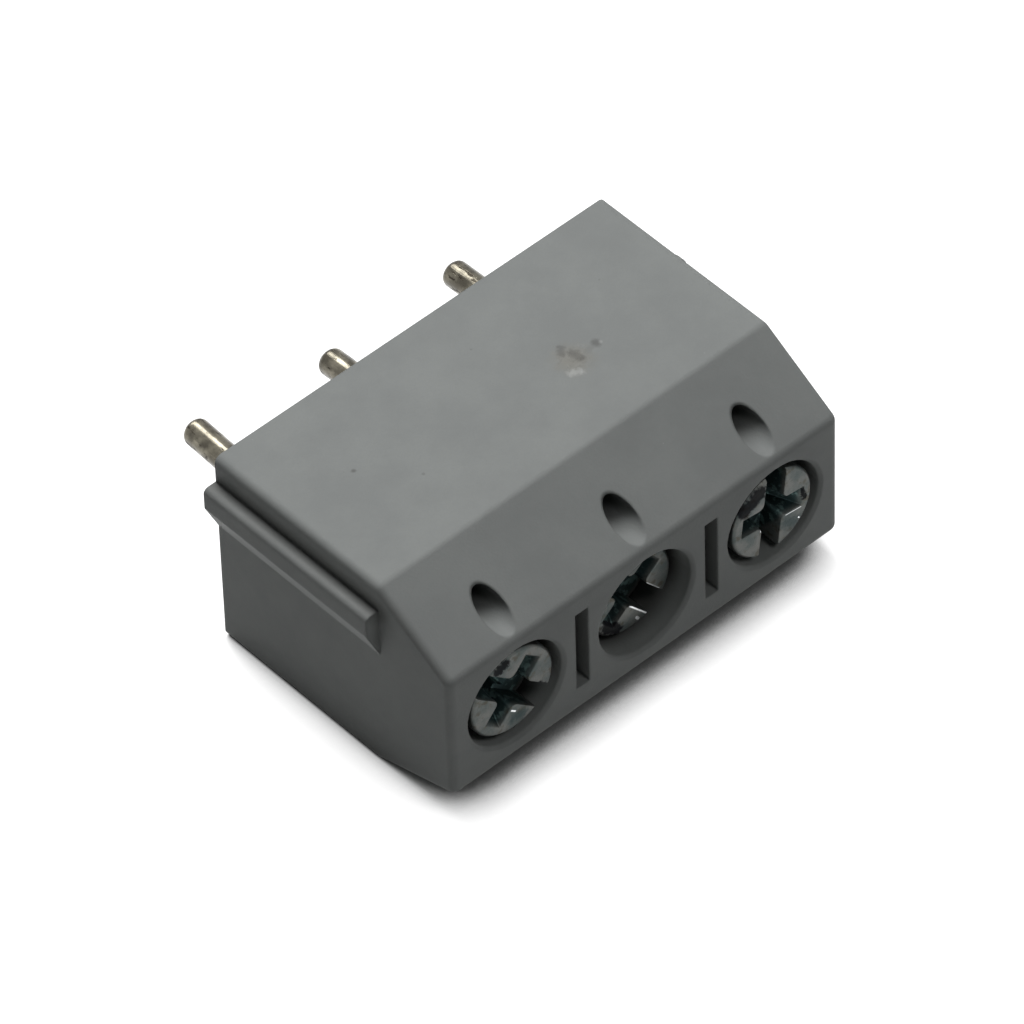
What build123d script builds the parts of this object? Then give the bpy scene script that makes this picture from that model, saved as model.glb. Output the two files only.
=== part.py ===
"""Board screw terminal with three poles: moulded housing, clamp bodies, pins, wire guards and screws.

Millimetres. The board is the plane Z = 0, the middle pin and its screw share the axis X = Y = 0,
the poles run along X, wires enter along +Y from the front face, and the screws are worked from +Z.
"""
import os

from build123d import *

os.makedirs("parts", exist_ok=True)

# Row of poles, left to right: how deep the screw is sunk, how its slot is turned, how long the pin is
pole_pitch = 5.08
poles = (
    (0.17, -42.0, 4.15),
    (0.69, -50.0, 3.95),
    (0.10, 83.0, 4.10),
)

# Housing section, as reaches from the common axis of pin and screw
front_reach = 3.46
back_reach = 4.10
body_height = 9.94
front_bevel_depth = 1.03
front_bevel_height = 3.24
back_bevel_depth = 1.79
back_bevel_height = 2.96
section_radius = 0.30
end_radius = 0.25

# Alignment rib on the left end and its groove on the right end
rib_reach = 0.48
rib_drop = 0.98
rib_face = 0.78
rib_bevel = 1.07
rib_root = 0.25
rib_edge = 0.18
groove_clearance = 0.04

# Slits that core out the wall between neighbouring screw bores
slit_width = 0.50
slit_length = 3.10
slit_depth = 3.40
slit_shift = 0.05

# Probe holes, sunk through the back bevel onto the clamp bodies
probe_radius = 0.46
probe_inset = 1.24

# Screw: head, plain core of the thread, and the room that it travels in
head_diameter = 3.15
head_height = 1.70
head_edge = 0.08
shank_diameter = 2.40
tip_edge = 0.30
slot_width = 0.78
slot_depth = 0.85
wing_span = 2.45
wing_width = 0.72
wing_depth = 1.20
wing_foot_span = 0.95
wing_foot_width = 0.40

# Bores for the screw
head_clearance = 0.245
neck_clearance = 0.15
thread_clearance = 0.05
bore_lead = 0.10
seat_clearance = 0.10
seat_web = 0.25

# Clamp body, set in a chamber that is open towards the board
front_wall = 1.03
back_wall = 0.59
clamp_width = 3.50
clamp_bottom = 0.60
clamp_floor = 1.00
clamp_roof = 1.40
clamp_corner = 0.25
clamp_clearance = 0.03
tunnel_width = 2.50
tunnel_corner = 0.15
tunnel_lead = 0.15
lip_reach = 0.15
lip_height = 0.35
lip_width = 1.60

# Wire funnel in the front wall
mouth_margin = 0.45
mouth_corner = 0.70
throat_overlap = 0.10

# Wire guard, a bent leaf between the screw tip and the wire
guard_roof_room = 0.92
guard_thickness = 0.25
guard_side_gap = 0.05
guard_front_inset = 0.95
guard_back_inset = 0.88
lip_bend_radius = 0.45
lip_bend_angle = 55.0
lip_tail = 0.20
tip_gap = 0.02
floor_gap = 0.03

# Solder pins, pressed into the clamp floors
pin_diameter = 0.90
pin_root_diameter = 1.40
pin_tip_edge = 0.16

# Worked out from the sizes above
body_length = len(poles) * pole_pitch
half_length = body_length / 2
pole_places = [(n - (len(poles) - 1) / 2) * pole_pitch for n in range(len(poles))]
rib_length = body_height - back_bevel_height
probe_behind_axis = back_reach - probe_inset
tunnel_floor = clamp_bottom + clamp_floor
bore_radius = head_diameter / 2 + head_clearance
neck_radius = shank_diameter / 2 + neck_clearance
thread_radius = shank_diameter / 2 + thread_clearance

# The screw sinks as far as the guard can go down, so the height between the tunnel floor and the screw face
# that nothing else needs is shared in two equal parts: room for the wire and travel of the head
taken_above = head_height + seat_clearance - floor_gap + seat_web + clamp_roof + guard_roof_room
wire_room = (body_height - tunnel_floor - taken_above) / 2
screw_travel = wire_room - floor_gap
bore_depth = head_height + screw_travel + seat_clearance
clamp_top = body_height - bore_depth - seat_web
clamp_height = clamp_top - clamp_bottom
clamp_front = front_reach - front_wall - clamp_clearance
clamp_back = back_reach - back_wall - clamp_clearance
clamp_length = clamp_front + clamp_back
clamp_middle = (clamp_back - clamp_front) / 2
chamber_width = clamp_width + 2 * clamp_clearance
chamber_length = clamp_length + 2 * clamp_clearance
tunnel_height = clamp_top - clamp_roof - tunnel_floor
tunnel_middle = tunnel_floor + tunnel_height / 2
guard_front = clamp_front - guard_front_inset
guard_back = clamp_back - guard_back_inset
guard_width = tunnel_width - 2 * (tunnel_corner + guard_side_gap)
shank_length = body_height - head_height - tunnel_floor - wire_room - guard_thickness - tip_gap


def upright_plane(place, height):
    """Plane through one pole's axis, with X to the right and Z up, for the half section of a turned piece."""
    return Plane(origin=(place, 0, height), x_dir=(1, 0, 0), z_dir=(0, -1, 0))


def make_housing():
    """One moulding: outer form first, then what is cored out of it from the board, front and top."""
    with BuildPart() as housing:
        # Outer section with both bevels, run along the poles; its edges at the board stay sharp
        with BuildSketch(Plane.YZ.offset(-half_length)):
            with BuildLine():
                Polyline(
                    (-front_reach, 0),
                    (back_reach, 0),
                    (back_reach, body_height - back_bevel_height),
                    (back_reach - back_bevel_depth, body_height),
                    (front_bevel_depth - front_reach, body_height),
                    (-front_reach, body_height - front_bevel_height),
                    close=True,
                )
            section = make_face()
            fillet(section.vertices().sort_by(Axis.Y)[2:], section_radius)
        extrude(amount=body_length)
        ends = housing.faces().sort_by(Axis.X)
        rims = ends[0].edges() + ends[-1].edges()
        fillet(rims.sort_by(Axis.Z)[2:], end_radius)

        # Rib on the left end, square on top and bevelled below
        rib_top = back_reach - rib_drop
        with BuildSketch(Plane.XY):
            with BuildLine():
                Polyline(
                    (rib_root - half_length, rib_top),
                    (-half_length - rib_reach, rib_top),
                    (-half_length - rib_reach, rib_top - rib_face),
                    (-half_length, rib_top - rib_face - rib_bevel),
                    (rib_root - half_length, rib_top - rib_face - rib_bevel),
                    close=True,
                )
            rib = make_face()
            fillet(rib.vertices().sort_by(Axis.X)[:2], rib_edge)
        extrude(amount=rib_length)

        # Groove on the right end that takes the rib of the next block
        groove_floor = half_length - rib_reach - groove_clearance
        groove_top = rib_top + groove_clearance
        groove_low = rib_top - rib_face - groove_clearance
        with BuildSketch(Plane.XY):
            with BuildLine():
                Polyline(
                    (half_length, groove_top),
                    (groove_floor, groove_top),
                    (groove_floor, groove_low),
                    (half_length, groove_low - rib_bevel),
                    close=True,
                )
            make_face()
        extrude(amount=rib_length + groove_clearance, mode=Mode.SUBTRACT)

        # Chambers for the clamp bodies, open towards the board
        with BuildSketch(Plane.XY):
            with Locations(*[(place, clamp_middle) for place in pole_places]):
                RectangleRounded(chamber_width, chamber_length, clamp_corner)
        extrude(amount=clamp_top, mode=Mode.SUBTRACT)

        # Snap lips under the front and back edges of each clamp body
        for wall, inward in ((-clamp_front - clamp_clearance, 1), (clamp_back + clamp_clearance, -1)):
            for place in pole_places:
                with BuildSketch(Plane.YZ.offset(place - lip_width / 2)):
                    with BuildLine():
                        Polyline(
                            (wall - inward * lip_reach, clamp_bottom - lip_height),
                            (wall, clamp_bottom - lip_height),
                            (wall + inward * lip_reach, clamp_bottom),
                            (wall - inward * lip_reach, clamp_bottom),
                            close=True,
                        )
                    make_face()
                extrude(amount=lip_width)

        # Wire funnels, wide at the front face and as wide as the tunnel at the chamber
        for place in pole_places:
            with BuildSketch(Plane.XZ.offset(front_reach)):
                with Locations((place, tunnel_middle)):
                    RectangleRounded(
                        tunnel_width + 2 * mouth_margin,
                        tunnel_height + 2 * mouth_margin,
                        mouth_corner,
                    )
            with BuildSketch(Plane.XZ.offset(clamp_front - throat_overlap)):
                with Locations((place, tunnel_middle)):
                    RectangleRounded(tunnel_width, tunnel_height, tunnel_corner)
            loft(mode=Mode.SUBTRACT)

        # Stepped screw bores: wide for the head, narrow through the seat web
        with Locations(*[(place, 0, body_height) for place in pole_places]):
            CounterBoreHole(neck_radius, bore_radius, bore_depth, bore_depth + seat_web)
        mouths = housing.edges().filter_by(GeomType.CIRCLE).group_by(Axis.Z)[-1]
        chamfer(mouths, bore_lead)

        # Probe holes, straight down through the bevel to the clamp bodies
        with Locations(*[(place, probe_behind_axis, body_height) for place in pole_places]):
            Hole(probe_radius, body_height - clamp_top)

        # Slits between the poles
        slit_places = [place + pole_pitch / 2 for place in pole_places[:-1]]
        with BuildSketch(Plane.XY.offset(body_height)):
            with Locations(*[(place, slit_shift) for place in slit_places]):
                Rectangle(slit_width, slit_length)
        extrude(amount=-slit_depth, mode=Mode.SUBTRACT)
    return housing.part


def make_clamp_body(place):
    """Plated block with a wire tunnel along Y, a threaded hole in its roof and a pin hole in its floor."""
    with BuildPart() as clamp_body:
        with BuildSketch(Plane.XY.offset(clamp_bottom)):
            with Locations((place, clamp_middle)):
                RectangleRounded(clamp_width, clamp_length, clamp_corner)
        extrude(amount=clamp_height)
        with BuildSketch(Plane.XZ.offset(clamp_front)):
            with Locations((place, tunnel_middle)):
                RectangleRounded(tunnel_width, tunnel_height, tunnel_corner)
        extrude(amount=-clamp_length, mode=Mode.SUBTRACT)
        front = clamp_body.faces().sort_by(Axis.Y)[0]
        chamfer(front.inner_wires().edges(), tunnel_lead)
        with Locations((place, 0, clamp_top)):
            Hole(thread_radius, clamp_roof + tunnel_corner)
        with Locations((place, 0, tunnel_floor)):
            Hole(pin_root_diameter / 2, clamp_floor)
    return clamp_body.part


def make_solder_pin(place, length):
    """Turned pin: a thick root pressed into the clamp floor and a thin leg with a bevelled tip."""
    root_radius = pin_root_diameter / 2
    leg_radius = pin_diameter / 2
    with BuildPart() as solder_pin:
        with BuildSketch(upright_plane(place, 0)):
            with BuildLine():
                Polyline(
                    (0, tunnel_floor),
                    (root_radius, tunnel_floor),
                    (root_radius, clamp_bottom),
                    (leg_radius, clamp_bottom),
                    (leg_radius, pin_tip_edge - length),
                    (leg_radius - pin_tip_edge, -length),
                    (0, -length),
                    close=True,
                )
            make_face()
        revolve(axis=Axis((place, 0, 0), (0, 0, 1)))
    return solder_pin.part


def make_wire_guard(place, tip_height):
    """Flat leaf under the screw tip with its front end turned up, so that a wire slides in below it."""
    middle_height = tip_height - tip_gap - guard_thickness / 2
    with BuildPart() as wire_guard:
        with BuildLine(Plane.YZ.offset(place)) as leaf:
            flat = Line((guard_back, middle_height), (-guard_front, middle_height))
            bend = JernArc(flat @ 1, flat % 1, lip_bend_radius, -lip_bend_angle)
            Line(bend @ 1, bend @ 1 + lip_tail * (bend % 1))
        with BuildSketch(Plane(origin=leaf.line @ 0, x_dir=(1, 0, 0), z_dir=leaf.line % 0)):
            Rectangle(guard_width, guard_thickness)
        sweep()
    return wire_guard.part


def make_clamp_screw(place, depth, slot_angle):
    """Cylinder-head screw sunk to its depth, with a straight slot and a tapered cross in its head."""
    head_top = body_height - depth
    head_radius = head_diameter / 2
    shank_radius = shank_diameter / 2
    tip = -head_height - shank_length
    with BuildPart() as clamp_screw:
        with BuildSketch(upright_plane(place, head_top)):
            with BuildLine():
                Polyline(
                    (0, 0),
                    (head_radius - head_edge, 0),
                    (head_radius, -head_edge),
                    (head_radius, -head_height),
                    (shank_radius, -head_height),
                    (shank_radius, tip + tip_edge),
                    (shank_radius - tip_edge, tip),
                    (0, tip),
                    close=True,
                )
            make_face()
        revolve(axis=Axis((place, 0, 0), (0, 0, 1)))
        drive = Plane(origin=(place, 0, head_top)).rotated((0, 0, slot_angle))
        with BuildSketch(drive):
            Rectangle(2 * head_diameter, slot_width)
        extrude(amount=-slot_depth, mode=Mode.SUBTRACT)
        for turn in (0, 90):
            with BuildSketch(drive.rotated((0, 0, turn))):
                Rectangle(wing_span, wing_width)
            with BuildSketch(drive.rotated((0, 0, turn)).offset(-wing_depth)):
                Rectangle(wing_foot_span, wing_foot_width)
            loft(mode=Mode.SUBTRACT)
    return clamp_screw.part


def save(part, name):
    """Label one finished piece and write it under its own name."""
    part.label = name
    export_step(part, f"parts/{name}.step")


save(make_housing(), "housing")
for number, (place, pole) in enumerate(zip(pole_places, poles), start=1):
    screw_depth, slot_angle, pin_length = pole
    tip_height = body_height - screw_depth - head_height - shank_length
    save(make_clamp_body(place), f"clamp_body_{number}")
    save(make_solder_pin(place, pin_length), f"solder_pin_{number}")
    save(make_wire_guard(place, tip_height), f"wire_guard_{number}")
    save(make_clamp_screw(place, screw_depth, slot_angle), f"clamp_screw_{number}")
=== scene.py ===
"""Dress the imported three-pole board terminal and set it in a small white studio.

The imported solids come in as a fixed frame. This script gives each of them a finish, makes the
clamp screws with rounded edges and cut threads, adds the marks that the mould left on the housing,
and places the floor, the lamps and the camera. Sizes are in millimetres unless a name says
otherwise: +X runs along the poles, wires enter along +Y and the screws are worked from +Z. The
block lies on its wire face, so the floor faces +Y.
"""

import logging
import math
from abc import ABC, abstractmethod
from dataclasses import dataclass, field, replace
from enum import Enum
from functools import reduce
from typing import Any, ClassVar, Mapping, Optional, Sequence, Union

import bmesh
import bpy
from mathutils import Matrix, Vector, noise


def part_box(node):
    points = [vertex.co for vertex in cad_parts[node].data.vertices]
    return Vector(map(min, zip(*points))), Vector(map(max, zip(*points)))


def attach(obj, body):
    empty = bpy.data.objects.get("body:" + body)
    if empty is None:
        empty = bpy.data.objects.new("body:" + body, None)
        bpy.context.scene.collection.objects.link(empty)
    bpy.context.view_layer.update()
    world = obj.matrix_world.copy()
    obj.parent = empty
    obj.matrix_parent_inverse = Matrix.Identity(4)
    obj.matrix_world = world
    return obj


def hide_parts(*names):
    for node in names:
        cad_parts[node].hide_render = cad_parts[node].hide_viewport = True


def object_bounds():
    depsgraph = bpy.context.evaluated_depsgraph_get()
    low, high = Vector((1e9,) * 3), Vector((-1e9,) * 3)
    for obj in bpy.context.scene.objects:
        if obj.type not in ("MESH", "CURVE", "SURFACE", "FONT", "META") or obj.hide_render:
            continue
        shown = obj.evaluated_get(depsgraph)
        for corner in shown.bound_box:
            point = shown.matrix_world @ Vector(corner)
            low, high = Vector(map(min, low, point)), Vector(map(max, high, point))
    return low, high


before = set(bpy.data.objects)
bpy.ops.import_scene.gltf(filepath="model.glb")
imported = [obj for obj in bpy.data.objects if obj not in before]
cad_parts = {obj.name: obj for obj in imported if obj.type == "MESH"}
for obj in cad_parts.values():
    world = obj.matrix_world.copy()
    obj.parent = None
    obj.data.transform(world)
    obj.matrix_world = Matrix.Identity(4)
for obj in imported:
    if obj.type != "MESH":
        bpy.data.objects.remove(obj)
CAD_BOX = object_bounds()

LOG = logging.getLogger("board_terminal")
MM = 0.001
WELD_REACH = 0.002
FLAT_ANGLE = 1.0

Vec3 = tuple[float, float, float]
Colour = tuple[float, float, float]
Operand = Union["Signal", float, int, Sequence[float], bpy.types.Material]
SocketKey = Union[str, int]


class Slot(Enum):
    """Names of material slots for the added pieces; this script does not use them."""

    HOUSING = "housing_plastic"
    PIN = "tinned_pin"
    SCREW = "zinc_steel"


class Axis(Enum):
    """A direction of the part's own frame."""

    X = (1.0, 0.0, 0.0)
    Y = (0.0, 1.0, 0.0)
    Z = (0.0, 0.0, 1.0)


@dataclass(frozen=True)
class Stroke:
    """A straight mark on a surface."""

    start: Vec3
    end: Vec3
    radius: float
    strength: float = 1.0
    ragged: float = 0.0


@dataclass(frozen=True)
class Speck:
    """A small round mark on a surface."""

    centre: Vec3
    radius: float
    strength: float
    ragged: float = 0.02


@dataclass(frozen=True)
class Scatter:
    """Small round specks, one in some of the cells of a surface."""

    per_mm: float
    radius: float
    share: float
    strength: float


@dataclass(frozen=True)
class Cloud:
    """A cloudy noise, about 0.5 on average."""

    per_mm: float
    detail: float = 3.0
    gain: float = 0.5
    stretch: Vec3 = (1.0, 1.0, 1.0)


class Signal:
    """A node's output socket that takes part in Python expressions."""

    def __init__(self, graph: "NodeGraph", socket: bpy.types.NodeSocket) -> None:
        """Keep the socket and the graph that it belongs to."""
        self.graph = graph
        self.socket = socket

    def _math(self, operation: str, *operands: Operand) -> "Signal":
        """Add one Math node on the operands."""
        return self.graph.add("ShaderNodeMath", {"operation": operation}, dict(enumerate(operands)))

    def __add__(self, other: Operand) -> "Signal":
        """Add a value."""
        return self._math("ADD", self, other)

    def __radd__(self, other: Operand) -> "Signal":
        """Be added to a value."""
        return self._math("ADD", other, self)

    def __sub__(self, other: Operand) -> "Signal":
        """Take a value away."""
        return self._math("SUBTRACT", self, other)

    def __rsub__(self, other: Operand) -> "Signal":
        """Be taken away from a value."""
        return self._math("SUBTRACT", other, self)

    def __mul__(self, other: Operand) -> "Signal":
        """Multiply by a value."""
        return self._math("MULTIPLY", self, other)

    def __rmul__(self, other: Operand) -> "Signal":
        """Be multiplied by a value."""
        return self._math("MULTIPLY", other, self)

    def __truediv__(self, other: Operand) -> "Signal":
        """Divide by a value."""
        return self._math("DIVIDE", self, other)

    def __rtruediv__(self, other: Operand) -> "Signal":
        """Divide a value by this one."""
        return self._math("DIVIDE", other, self)

    def __lt__(self, other: Operand) -> "Signal":
        """One where this is less than a value, and nought elsewhere."""
        return self._math("LESS_THAN", self, other)

    def __gt__(self, other: Operand) -> "Signal":
        """One where this is more than a value, and nought elsewhere."""
        return self._math("GREATER_THAN", self, other)

    def __pow__(self, other: Operand) -> "Signal":
        """Raise to a power."""
        return self._math("POWER", self, other)

    def __rpow__(self, other: Operand) -> "Signal":
        """Be the power of a value."""
        return self._math("POWER", other, self)

    def at_most(self, other: Operand) -> "Signal":
        """The smaller of this and a value."""
        return self._math("MINIMUM", self, other)

    def at_least(self, other: Operand) -> "Signal":
        """The larger of this and a value."""
        return self._math("MAXIMUM", self, other)

    def size(self) -> "Signal":
        """The value without its sign."""
        return self._math("ABSOLUTE", self)

    def sine(self) -> "Signal":
        """The sine of this angle in radians."""
        return self._math("SINE", self)

    def cosine(self) -> "Signal":
        """The cosine of this angle in radians."""
        return self._math("COSINE", self)

    def rise(self, low: float, high: float) -> "Signal":
        """Go smoothly from nought at low to one at high, or fall where low is above high.

        Args:
            low: The value that gives nought.
            high: The value that gives one.

        Returns:
            The eased share, which stays between nought and one.
        """
        falls = low > high
        ends = (high, low) if falls else (low, high)
        eased = self.graph.add(
            "ShaderNodeMapRange",
            {"interpolation_type": "SMOOTHSTEP"},
            {"Value": self, "From Min": ends[0], "From Max": ends[1]},
        )
        return 1.0 - eased if falls else eased


class NodeGraph:
    """A node tree that is written in Python expressions."""

    def __init__(self, tree: bpy.types.NodeTree) -> None:
        """Start from an empty tree."""
        self.tree = tree
        tree.nodes.clear()

    def add(
        self,
        kind: str,
        settings: Optional[Mapping[str, Any]] = None,
        sockets: Optional[Mapping[SocketKey, Operand]] = None,
        output: SocketKey = 0,
    ) -> Signal:
        """Add one node of any type.

        Args:
            kind: The node's type.
            settings: The node's own settings, which are set first.
            sockets: A value or a signal for each input socket, by its name or number.
            output: The output socket that is handed back.

        Returns:
            The chosen output as a signal.
        """
        node = self.tree.nodes.new(kind)
        for name, value in (settings or {}).items():
            setattr(node, name, value)
        for key, value in (sockets or {}).items():
            if isinstance(value, Signal):
                self.tree.links.new(value.socket, node.inputs[key])
            else:
                node.inputs[key].default_value = value
        return Signal(self, node.outputs[output] if len(node.outputs) else None)

    def vector(self, operation: str, *operands: Operand, output: SocketKey = 0) -> Signal:
        """Add one Vector Math node.

        Args:
            operation: The node's operation.
            operands: Its vectors, in order.
            output: Nought for a vector, one for a number such as a length.

        Returns:
            The result.
        """
        return self.add("ShaderNodeVectorMath", {"operation": operation}, dict(enumerate(operands)), output)

    def scaled(self, vector: Operand, by: Operand) -> Signal:
        """Scale a vector by one number."""
        return self.add("ShaderNodeVectorMath", {"operation": "SCALE"}, {0: vector, "Scale": by})

    def parts(self, vector: Signal) -> tuple[Signal, Signal, Signal]:
        """Take a vector apart.

        Args:
            vector: The vector.

        Returns:
            Its three numbers.
        """
        first = self.add("ShaderNodeSeparateXYZ", None, {0: vector})
        outputs = first.socket.node.outputs
        return first, Signal(self, outputs[1]), Signal(self, outputs[2])

    def joined(self, x: Operand, y: Operand, z: Operand) -> Signal:
        """Make a vector of three numbers."""
        return self.add("ShaderNodeCombineXYZ", None, {0: x, 1: y, 2: z})


class ShaderGraph(NodeGraph):
    """The node tree of one material, with coordinates in millimetres of the part's own frame."""

    SPOT_WANDER: ClassVar[Cloud] = Cloud(6.0)
    STROKE_WANDER: ClassVar[Cloud] = Cloud(9.0)
    WANDER_GAIN: ClassVar[float] = 4.0
    SPOT_CORE: ClassVar[float] = 0.2
    STROKE_CORE: ClassVar[float] = 0.1
    SPECK_CORE: ClassVar[float] = 0.4
    EDGE_SAMPLES: ClassVar[int] = 3

    def __init__(self, material: bpy.types.Material) -> None:
        """Empty the material's tree and read the object coordinates once."""
        material.use_nodes = True
        super().__init__(material.node_tree)
        metres = self.add("ShaderNodeTexCoord", None, None, "Object")
        self.place = self.scaled(metres, 1.0 / MM)

    def mix(self, share: Operand, first: Operand, second: Operand) -> Signal:
        """Blend two colours.

        Args:
            share: How much of the second colour shows.
            first: The colour at nought.
            second: The colour at one.

        Returns:
            The blended colour.
        """
        ends = {
            key: colour if isinstance(colour, Signal) else (*colour, 1.0)
            for key, colour in ((6, first), (7, second))
        }
        return self.add("ShaderNodeMix", {"data_type": "RGBA"}, {0: share, **ends}, 2)

    def cloud(self, cloud: Cloud) -> Signal:
        """Read a cloudy noise."""
        place = self.vector("MULTIPLY", self.place, cloud.stretch)
        return self.add(
            "ShaderNodeTexNoise",
            None,
            {"Vector": place, "Scale": cloud.per_mm, "Detail": cloud.detail, "Roughness": cloud.gain},
        )

    def specks(self, scatter: Scatter) -> Signal:
        """Scatter small round specks.

        Args:
            scatter: How large, how close and how strong they are.

        Returns:
            Their strength on a speck and nought elsewhere.
        """
        cell = {"Vector": self.place, "Scale": scatter.per_mm}
        reach = self.add("ShaderNodeTexVoronoi", None, cell, "Distance")
        lot = self.add("ShaderNodeTexVoronoi", None, cell, "Color")
        radius = scatter.radius * scatter.per_mm
        shown = self.parts(lot)[0] < scatter.share
        return scatter.strength * reach.rise(radius, self.SPECK_CORE * radius) * shown

    def wandering(self, reach: Signal, wander: Cloud, ragged: float) -> Signal:
        """Let a mark's edge wander.

        Args:
            reach: The distance from the mark's middle.
            wander: The noise that moves the edge.
            ragged: How far it moves.

        Returns:
            The distance with the noise on it.
        """
        if not ragged:
            return reach
        return reach + (self.cloud(wander) - 0.5) * (self.WANDER_GAIN * ragged)

    def spot(self, mark: Speck) -> Signal:
        """Mark a round place.

        Args:
            mark: The place.

        Returns:
            The mark's strength in its middle, falling to nought at its edge.
        """
        reach = self.vector("DISTANCE", self.place, mark.centre, output=1)
        reach = self.wandering(reach, self.SPOT_WANDER, mark.ragged)
        return mark.strength * reach.rise(mark.radius, self.SPOT_CORE * mark.radius)

    def stroke(self, mark: Stroke) -> Signal:
        """Mark a narrow straight line.

        Args:
            mark: The line.

        Returns:
            The mark's strength along its middle, falling to nought at its edge.
        """
        run = Vector(mark.end) - Vector(mark.start)
        offset = self.vector("SUBTRACT", self.place, mark.start)
        along = self.vector("DOT_PRODUCT", offset, tuple(run / run.length_squared), output=1)
        nearest = self.scaled(tuple(run), along.at_least(0.0).at_most(1.0))
        reach = self.vector("DISTANCE", offset, nearest, output=1)
        reach = self.wandering(reach, self.STROKE_WANDER, mark.ragged)
        return mark.strength * reach.rise(mark.radius, self.STROKE_CORE * mark.radius)

    def strokes(self, marks: Sequence[Stroke]) -> Signal:
        """Gather several lines, with the strongest on top."""
        return reduce(Signal.at_least, [self.stroke(mark) for mark in marks])

    def relief(self, height: Signal, depth: float, smooth_edges: float = 0.0) -> Signal:
        """Turn heights into a shaded relief.

        Args:
            height: The height, from nought to one.
            depth: The depth in millimetres that a height of one stands for.
            smooth_edges: The radius to which sharp edges are shaded, or nought.

        Returns:
            The normal.
        """
        sockets: dict[SocketKey, Operand] = {"Height": height, "Distance": depth * MM, "Strength": 1.0}
        if smooth_edges:
            samples = {"samples": self.EDGE_SAMPLES}
            sockets["Normal"] = self.add("ShaderNodeBevel", samples, {"Radius": smooth_edges * MM})
        return self.add("ShaderNodeBump", None, sockets)

    def surface(self, shader: Signal) -> None:
        """Send a shader to the material's output."""
        self.add("ShaderNodeOutputMaterial", None, {"Surface": shader})


@dataclass(frozen=True)
class Finish(ABC):
    """A finish that writes its own material."""

    title: ClassVar[str] = "finish"

    @abstractmethod
    def shade(self, graph: ShaderGraph) -> Signal:
        """Write the nodes of the finish.

        Args:
            graph: The material's graph.

        Returns:
            The shader.
        """

    def material(self) -> bpy.types.Material:
        """Give the finish's material, made on first use.

        Returns:
            The material.
        """
        made = bpy.data.materials.get(self.title)
        if made is None:
            made = bpy.data.materials.new(self.title)
            graph = ShaderGraph(made)
            graph.surface(self.shade(graph))
        return made


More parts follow.
